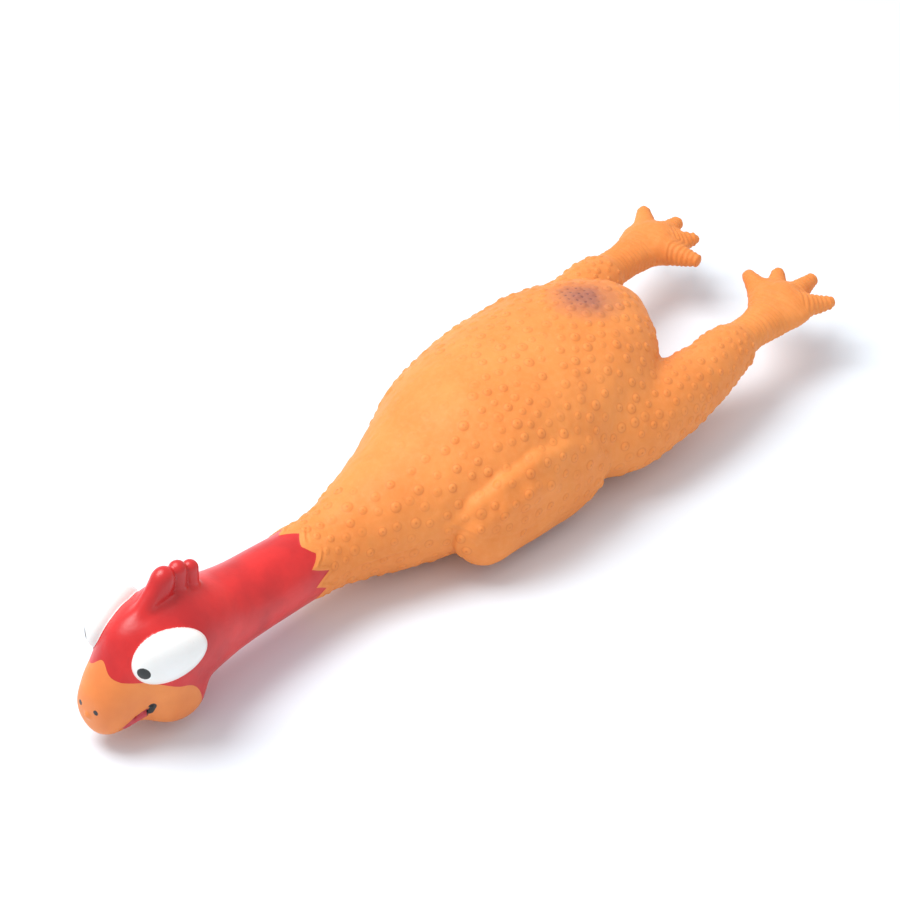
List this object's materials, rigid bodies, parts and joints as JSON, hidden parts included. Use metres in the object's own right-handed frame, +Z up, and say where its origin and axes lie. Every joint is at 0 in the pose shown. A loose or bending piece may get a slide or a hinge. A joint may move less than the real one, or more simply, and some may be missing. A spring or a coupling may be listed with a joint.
{
  "type": "rubber chicken",
  "caption": "Hollow moulded latex chicken lying on its belly, with a flexing neck and legs, a back that presses in and a belly squeaker.",
  "frame": {"origin": "on the floor, under the middle of the torso, midway between the hips", "axes": "+Z up, -Y towards the head, +Y towards the feet, +X towards the toy's left side"},
  "size_m": [0.1213, 0.4076, 0.068],
  "materials": {
    "orange_latex": "matte",
    "red_painted_latex": "satin",
    "beak_paint": "satin",
    "eye_white": "satin",
    "black_paint": "satin",
    "tongue_paint": "satin",
    "fibre_filling": "matte",
    "squeaker_plastic": "satin",
    "reed_holder_plastic": "satin",
    "reed_film": "gloss"
  },
  "bodies": {
    "torso": {"torso_skin": "orange_latex", "body_stuffing": "fibre_filling", "squeaker_case": "squeaker_plastic", "squeaker_cap": "squeaker_plastic", "reed_holder": "reed_holder_plastic", "reed_clamp": "reed_holder_plastic"},
    "back_panel": {"back_press_panel": "orange_latex"},
    "reed": {"squeaker_reed": "reed_film"},
    "lower_neck": {"lower_neck_skin": "red_painted_latex"},
    "upper_neck": {"upper_neck_skin": "red_painted_latex"},
    "head": {"head_skin": "red_painted_latex", "beak_skin": "beak_paint", "left_eye": "eye_white", "right_eye": "eye_white", "left_pupil": "black_paint", "right_pupil": "black_paint", "left_nostril": "black_paint", "right_nostril": "black_paint", "left_mouth_corner": "black_paint", "right_mouth_corner": "black_paint", "left_tongue_edge": "tongue_paint", "right_tongue_edge": "tongue_paint", "head_stuffing": "fibre_filling"},
    "left_leg": {"left_leg_skin": "orange_latex"},
    "right_leg": {"right_leg_skin": "orange_latex"},
    "left_foot": {"left_foot": "orange_latex"},
    "right_foot": {"right_foot": "orange_latex"}
  },
  "joints": [
    {"name": "back_squeeze", "type": "slide", "parent": "torso", "child": "back_panel", "axis": [0, 0, -1], "range_m": [0, 0.015], "stiffness_N_per_m": 150, "deforming": ["body_stuffing"]},
    {"name": "reed_flutter", "type": "hinge", "parent": "torso", "child": "reed", "pos_m": [0, 0.02048, 0.01155], "axis": [1, 0, 0], "range_deg": [-2, 4], "stiffness_Nm_per_rad": 0.0001},
    {"name": "neck_dip", "type": "hinge", "parent": "torso", "child": "lower_neck", "pos_m": [0, -0.094, 0.0255], "axis": [1, 0, 0], "range_deg": [-40, 40], "stiffness_Nm_per_rad": 1.2},
    {"name": "neck_sway", "type": "hinge", "parent": "lower_neck", "child": "upper_neck", "pos_m": [0, -0.121, 0.027], "axis": [0, 0, 1], "range_deg": [-40, 40], "stiffness_Nm_per_rad": 0.8},
    {"name": "head_nod", "type": "hinge", "parent": "upper_neck", "child": "head", "pos_m": [0, -0.148, 0.0285], "axis": [1, 0, 0], "range_deg": [-35, 35], "stiffness_Nm_per_rad": 0.8},
    {"name": "left_hip", "type": "hinge", "parent": "torso", "child": "left_leg", "pos_m": [0.0383, 0.103, 0.026], "axis": [1, 0, 0], "range_deg": [-30, 30], "stiffness_Nm_per_rad": 0.6},
    {"name": "right_hip", "type": "hinge", "parent": "torso", "child": "right_leg", "pos_m": [-0.0383, 0.103, 0.026], "axis": [1, 0, 0], "range_deg": [-30, 30], "stiffness_Nm_per_rad": 0.6},
    {"name": "left_ankle", "type": "hinge", "parent": "left_leg", "child": "left_foot", "pos_m": [0.03449, 0.13981, 0.029], "axis": [0.9925, 0.1219, 0], "range_deg": [-35, 35], "stiffness_Nm_per_rad": 0.2},
    {"name": "right_ankle", "type": "hinge", "parent": "right_leg", "child": "right_foot", "pos_m": [-0.0435, 0.13964, 0.029], "axis": [0.9925, 0.1219, 0], "range_deg": [-35, 35], "stiffness_Nm_per_rad": 0.2}
  ]
}
